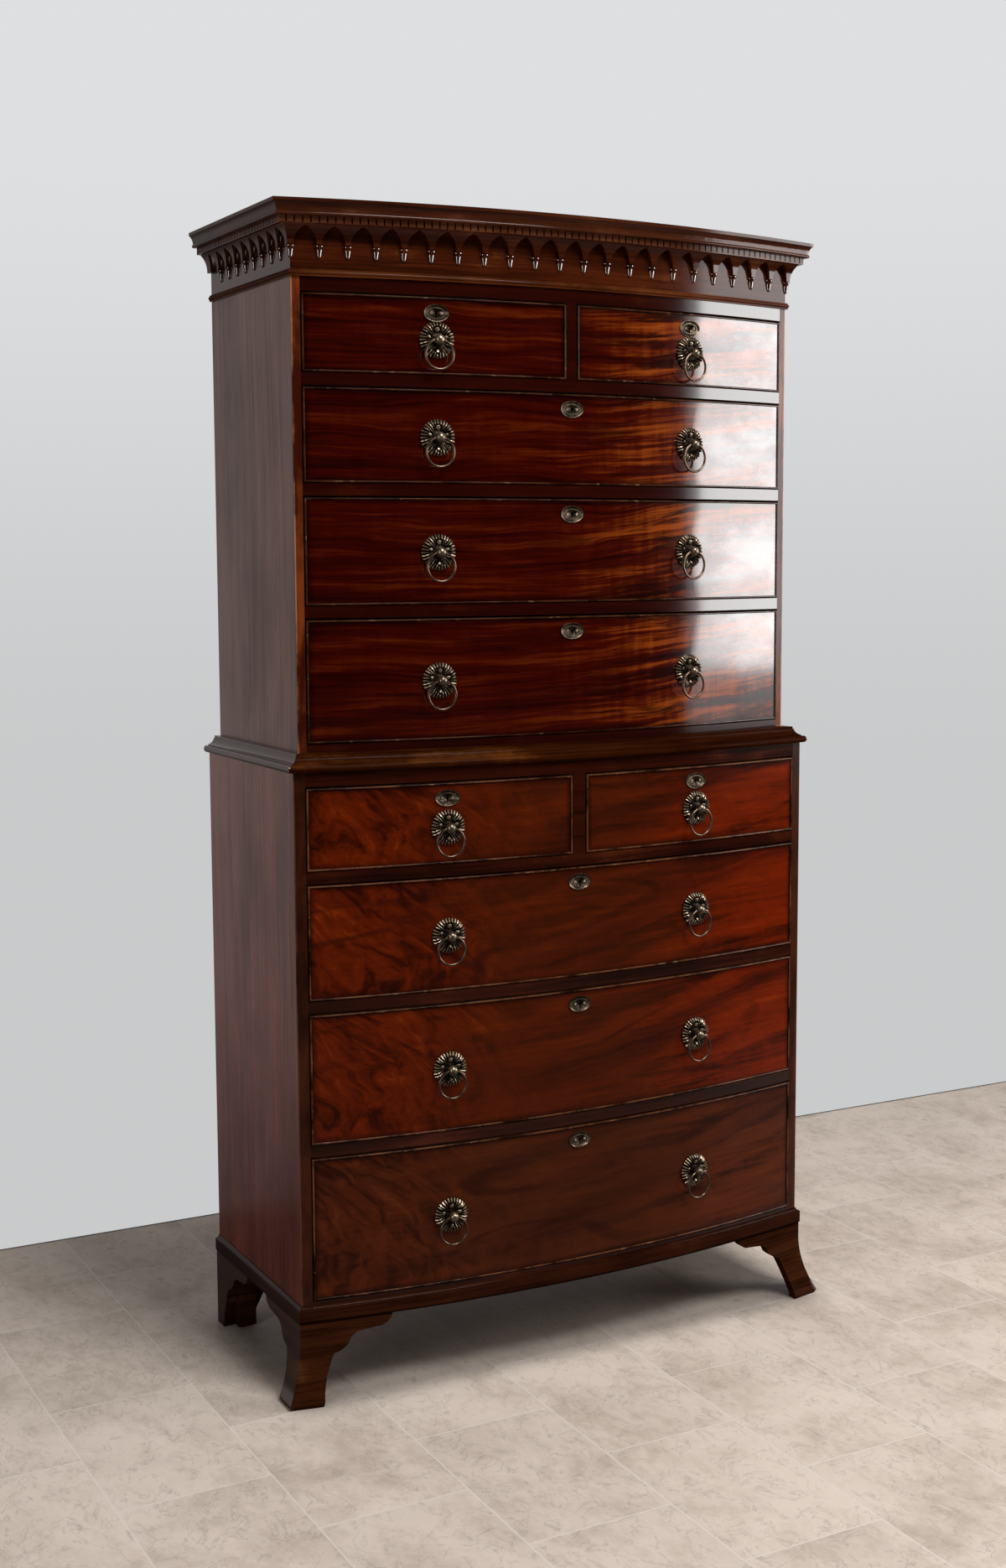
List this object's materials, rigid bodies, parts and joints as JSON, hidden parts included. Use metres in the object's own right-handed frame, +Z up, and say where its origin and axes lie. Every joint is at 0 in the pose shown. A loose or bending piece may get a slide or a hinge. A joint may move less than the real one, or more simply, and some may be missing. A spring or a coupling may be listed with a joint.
{
  "type": "chest on chest",
  "caption": "Tall two-part bow-front mahogany chest of drawers with a gothic arcaded cornice, cock-beaded drawers, ring pulls, oval escutcheons and splayed bracket feet.",
  "frame": {"origin": "On the floor, under the middle of the overall width and depth.", "axes": "+X to the right seen from the front, +Y to the back, +Z up. The bowed front faces -Y."},
  "size_m": [1.1462, 0.4949, 2.093],
  "materials": {
    "mahogany_case": "waxed",
    "mahogany_upper_drawer": "waxed",
    "mahogany_lower_drawer": "waxed",
    "mahogany_moulding": "waxed",
    "mahogany_feet": "waxed",
    "oak_lining": "bare",
    "antique_brass": "aged",
    "lock_steel": "dull"
  },
  "bodies": {
    "lower_chest": {"lower_sides": "mahogany_case", "lower_boards": "oak_lining", "lower_back": "oak_lining", "lower_rails": "mahogany_case", "waist_moulding": "mahogany_moulding", "base_moulding": "mahogany_moulding", "bracket_feet": "mahogany_feet"},
    "upper_chest": {"upper_sides": "mahogany_case", "upper_boards": "oak_lining", "upper_back": "oak_lining", "upper_rails": "mahogany_case"},
    "cornice": {"crown_moulding": "mahogany_moulding", "cornice_box": "mahogany_case", "gothic_arcade": "mahogany_moulding"},
    "upper_drawer_1_left": {"upper_drawer_1_left": "mahogany_upper_drawer", "upper_drawer_1_left_fittings": "antique_brass"},
    "upper_drawer_1_right": {"upper_drawer_1_right": "mahogany_upper_drawer", "upper_drawer_1_right_fittings": "antique_brass"},
    "upper_drawer_2": {"upper_drawer_2": "mahogany_upper_drawer", "upper_drawer_2_fittings": "antique_brass"},
    "upper_drawer_3": {"upper_drawer_3": "mahogany_upper_drawer", "upper_drawer_3_fittings": "antique_brass"},
    "upper_drawer_4": {"upper_drawer_4": "mahogany_upper_drawer", "upper_drawer_4_fittings": "antique_brass"},
    "lower_drawer_1_left": {"lower_drawer_1_left": "mahogany_lower_drawer", "lower_drawer_1_left_fittings": "antique_brass"},
    "lower_drawer_1_right": {"lower_drawer_1_right": "mahogany_lower_drawer", "lower_drawer_1_right_fittings": "antique_brass"},
    "lower_drawer_2": {"lower_drawer_2": "mahogany_lower_drawer", "lower_drawer_2_fittings": "antique_brass"},
    "lower_drawer_3": {"lower_drawer_3": "mahogany_lower_drawer", "lower_drawer_3_fittings": "antique_brass"},
    "lower_drawer_4": {"lower_drawer_4": "mahogany_lower_drawer", "lower_drawer_4_fittings": "antique_brass"},
    "upper_drawer_1_left_ring": {"upper_drawer_1_left_ring": "antique_brass"},
    "upper_drawer_1_right_ring": {"upper_drawer_1_right_ring": "antique_brass"},
    "upper_drawer_2_ring_left": {"upper_drawer_2_ring_left": "antique_brass"},
    "upper_drawer_2_ring_right": {"upper_drawer_2_ring_right": "antique_brass"},
    "upper_drawer_3_ring_left": {"upper_drawer_3_ring_left": "antique_brass"},
    "upper_drawer_3_ring_right": {"upper_drawer_3_ring_right": "antique_brass"},
    "upper_drawer_4_ring_left": {"upper_drawer_4_ring_left": "antique_brass"},
    "upper_drawer_4_ring_right": {"upper_drawer_4_ring_right": "antique_brass"},
    "lower_drawer_1_left_ring": {"lower_drawer_1_left_ring": "antique_brass"},
    "lower_drawer_1_right_ring": {"lower_drawer_1_right_ring": "antique_brass"},
    "lower_drawer_2_ring_left": {"lower_drawer_2_ring_left": "antique_brass"},
    "lower_drawer_2_ring_right": {"lower_drawer_2_ring_right": "antique_brass"},
    "lower_drawer_3_ring_left": {"lower_drawer_3_ring_left": "antique_brass"},
    "lower_drawer_3_ring_right": {"lower_drawer_3_ring_right": "antique_brass"},
    "lower_drawer_4_ring_left": {"lower_drawer_4_ring_left": "antique_brass"},
    "lower_drawer_4_ring_right": {"lower_drawer_4_ring_right": "antique_brass"},
    "upper_drawer_1_left_bolt": {"upper_drawer_1_left_bolt": "lock_steel"},
    "upper_drawer_1_right_bolt": {"upper_drawer_1_right_bolt": "lock_steel"},
    "upper_drawer_2_bolt": {"upper_drawer_2_bolt": "lock_steel"},
    "upper_drawer_3_bolt": {"upper_drawer_3_bolt": "lock_steel"},
    "upper_drawer_4_bolt": {"upper_drawer_4_bolt": "lock_steel"},
    "lower_drawer_1_left_bolt": {"lower_drawer_1_left_bolt": "lock_steel"},
    "lower_drawer_1_right_bolt": {"lower_drawer_1_right_bolt": "lock_steel"},
    "lower_drawer_2_bolt": {"lower_drawer_2_bolt": "lock_steel"},
    "lower_drawer_3_bolt": {"lower_drawer_3_bolt": "lock_steel"},
    "lower_drawer_4_bolt": {"lower_drawer_4_bolt": "lock_steel"}
  },
  "joints": [
    {"name": "upper_drawer_1_left_slide", "type": "slide", "parent": "upper_chest", "child": "upper_drawer_1_left", "axis": [0, -1, 0], "range_m": [0, 0.3]},
    {"name": "upper_drawer_1_right_slide", "type": "slide", "parent": "upper_chest", "child": "upper_drawer_1_right", "axis": [0, -1, 0], "range_m": [0, 0.3]},
    {"name": "upper_drawer_2_slide", "type": "slide", "parent": "upper_chest", "child": "upper_drawer_2", "axis": [0, -1, 0], "range_m": [0, 0.3]},
    {"name": "upper_drawer_3_slide", "type": "slide", "parent": "upper_chest", "child": "upper_drawer_3", "axis": [0, -1, 0], "range_m": [0, 0.3]},
    {"name": "upper_drawer_4_slide", "type": "slide", "parent": "upper_chest", "child": "upper_drawer_4", "axis": [0, -1, 0], "range_m": [0, 0.3]},
    {"name": "lower_drawer_1_left_slide", "type": "slide", "parent": "lower_chest", "child": "lower_drawer_1_left", "axis": [0, -1, 0], "range_m": [0, 0.33]},
    {"name": "lower_drawer_1_right_slide", "type": "slide", "parent": "lower_chest", "child": "lower_drawer_1_right", "axis": [0, -1, 0], "range_m": [0, 0.33]},
    {"name": "lower_drawer_2_slide", "type": "slide", "parent": "lower_chest", "child": "lower_drawer_2", "axis": [0, -1, 0], "range_m": [0, 0.33]},
    {"name": "lower_drawer_3_slide", "type": "slide", "parent": "lower_chest", "child": "lower_drawer_3", "axis": [0, -1, 0], "range_m": [0, 0.33]},
    {"name": "lower_drawer_4_slide", "type": "slide", "parent": "lower_chest", "child": "lower_drawer_4", "axis": [0, -1, 0], "range_m": [0, 0.33]},
    {"name": "upper_chest_lift", "type": "slide", "parent": "lower_chest", "child": "upper_chest", "axis": [0, 0, 1], "range_m": [0, 0.12]},
    {"name": "cornice_lift", "type": "slide", "parent": "upper_chest", "child": "cornice", "axis": [0, 0, 1], "range_m": [0, 0.05]},
    {"name": "upper_drawer_1_left_ring_hinge", "type": "hinge", "parent": "upper_drawer_1_left", "child": "upper_drawer_1_left_ring", "pos_m": [-0.26503, -0.20663, 1.87], "axis": [-0.9929, 0.1193, 0], "range_deg": [-15, 150]},
    {"name": "upper_drawer_1_right_ring_hinge", "type": "hinge", "parent": "upper_drawer_1_right", "child": "upper_drawer_1_right_ring", "pos_m": [0.26503, -0.20663, 1.87], "axis": [-0.9929, -0.1193, 0], "range_deg": [-15, 150]},
    {"name": "upper_drawer_2_ring_left_hinge", "type": "hinge", "parent": "upper_drawer_2", "child": "upper_drawer_2_ring_left", "pos_m": [-0.26503, -0.20663, 1.70225], "axis": [-0.9929, 0.1193, 0], "range_deg": [-15, 150]},
    {"name": "upper_drawer_2_ring_right_hinge", "type": "hinge", "parent": "upper_drawer_2", "child": "upper_drawer_2_ring_right", "pos_m": [0.26503, -0.20663, 1.70225], "axis": [-0.9929, -0.1193, 0], "range_deg": [-15, 150]},
    {"name": "upper_drawer_3_ring_left_hinge", "type": "hinge", "parent": "upper_drawer_3", "child": "upper_drawer_3_ring_left", "pos_m": [-0.26503, -0.20663, 1.503], "axis": [-0.9929, 0.1193, 0], "range_deg": [-15, 150]},
    {"name": "upper_drawer_3_ring_right_hinge", "type": "hinge", "parent": "upper_drawer_3", "child": "upper_drawer_3_ring_right", "pos_m": [0.26503, -0.20663, 1.503], "axis": [-0.9929, -0.1193, 0], "range_deg": [-15, 150]},
    {"name": "upper_drawer_4_ring_left_hinge", "type": "hinge", "parent": "upper_drawer_4", "child": "upper_drawer_4_ring_left", "pos_m": [-0.26503, -0.20663, 1.2775], "axis": [-0.9929, 0.1193, 0], "range_deg": [-15, 150]},
    {"name": "upper_drawer_4_ring_right_hinge", "type": "hinge", "parent": "upper_drawer_4", "child": "upper_drawer_4_ring_right", "pos_m": [0.26503, -0.20663, 1.2775], "axis": [-0.9929, -0.1193, 0], "range_deg": [-15, 150]},
    {"name": "lower_drawer_1_left_ring_hinge", "type": "hinge", "parent": "lower_drawer_1_left", "child": "lower_drawer_1_left_ring", "pos_m": [-0.26468, -0.23538, 1.0185], "axis": [-0.9951, 0.0989, 0], "range_deg": [-15, 150]},
    {"name": "lower_drawer_1_right_ring_hinge", "type": "hinge", "parent": "lower_drawer_1_right", "child": "lower_drawer_1_right_ring", "pos_m": [0.26468, -0.23538, 1.0185], "axis": [-0.9951, -0.0989, 0], "range_deg": [-15, 150]},
    {"name": "lower_drawer_2_ring_left_hinge", "type": "hinge", "parent": "lower_drawer_2", "child": "lower_drawer_2_ring_left", "pos_m": [-0.26468, -0.23538, 0.824], "axis": [-0.9951, 0.0989, 0], "range_deg": [-15, 150]},
    {"name": "lower_drawer_2_ring_right_hinge", "type": "hinge", "parent": "lower_drawer_2", "child": "lower_drawer_2_ring_right", "pos_m": [0.26468, -0.23538, 0.824], "axis": [-0.9951, -0.0989, 0], "range_deg": [-15, 150]},
    {"name": "lower_drawer_3_ring_left_hinge", "type": "hinge", "parent": "lower_drawer_3", "child": "lower_drawer_3_ring_left", "pos_m": [-0.26468, -0.23538, 0.58075], "axis": [-0.9951, 0.0989, 0], "range_deg": [-15, 150]},
    {"name": "lower_drawer_3_ring_right_hinge", "type": "hinge", "parent": "lower_drawer_3", "child": "lower_drawer_3_ring_right", "pos_m": [0.26468, -0.23538, 0.58075], "axis": [-0.9951, -0.0989, 0], "range_deg": [-15, 150]},
    {"name": "lower_drawer_4_ring_left_hinge", "type": "hinge", "parent": "lower_drawer_4", "child": "lower_drawer_4_ring_left", "pos_m": [-0.26468, -0.23538, 0.3105], "axis": [-0.9951, 0.0989, 0], "range_deg": [-15, 150]},
    {"name": "lower_drawer_4_ring_right_hinge", "type": "hinge", "parent": "lower_drawer_4", "child": "lower_drawer_4_ring_right", "pos_m": [0.26468, -0.23538, 0.3105], "axis": [-0.9951, -0.0989, 0], "range_deg": [-15, 150]},
    {"name": "upper_drawer_1_left_bolt_slide", "type": "slide", "parent": "upper_drawer_1_left", "child": "upper_drawer_1_left_bolt", "axis": [0, 0, 1], "range_m": [0, 0.008]},
    {"name": "upper_drawer_1_right_bolt_slide", "type": "slide", "parent": "upper_drawer_1_right", "child": "upper_drawer_1_right_bolt", "axis": [0, 0, 1], "range_m": [0, 0.008]},
    {"name": "upper_drawer_2_bolt_slide", "type": "slide", "parent": "upper_drawer_2", "child": "upper_drawer_2_bolt", "axis": [0, 0, 1], "range_m": [0, 0.008]},
    {"name": "upper_drawer_3_bolt_slide", "type": "slide", "parent": "upper_drawer_3", "child": "upper_drawer_3_bolt", "axis": [0, 0, 1], "range_m": [0, 0.008]},
    {"name": "upper_drawer_4_bolt_slide", "type": "slide", "parent": "upper_drawer_4", "child": "upper_drawer_4_bolt", "axis": [0, 0, 1], "range_m": [0, 0.008]},
    {"name": "lower_drawer_1_left_bolt_slide", "type": "slide", "parent": "lower_drawer_1_left", "child": "lower_drawer_1_left_bolt", "axis": [0, 0, 1], "range_m": [0, 0.008]},
    {"name": "lower_drawer_1_right_bolt_slide", "type": "slide", "parent": "lower_drawer_1_right", "child": "lower_drawer_1_right_bolt", "axis": [0, 0, 1], "range_m": [0, 0.008]},
    {"name": "lower_drawer_2_bolt_slide", "type": "slide", "parent": "lower_drawer_2", "child": "lower_drawer_2_bolt", "axis": [0, 0, 1], "range_m": [0, 0.008]},
    {"name": "lower_drawer_3_bolt_slide", "type": "slide", "parent": "lower_drawer_3", "child": "lower_drawer_3_bolt", "axis": [0, 0, 1], "range_m": [0, 0.008]},
    {"name": "lower_drawer_4_bolt_slide", "type": "slide", "parent": "lower_drawer_4", "child": "lower_drawer_4_bolt", "axis": [0, 0, 1], "range_m": [0, 0.008]}
  ]
}
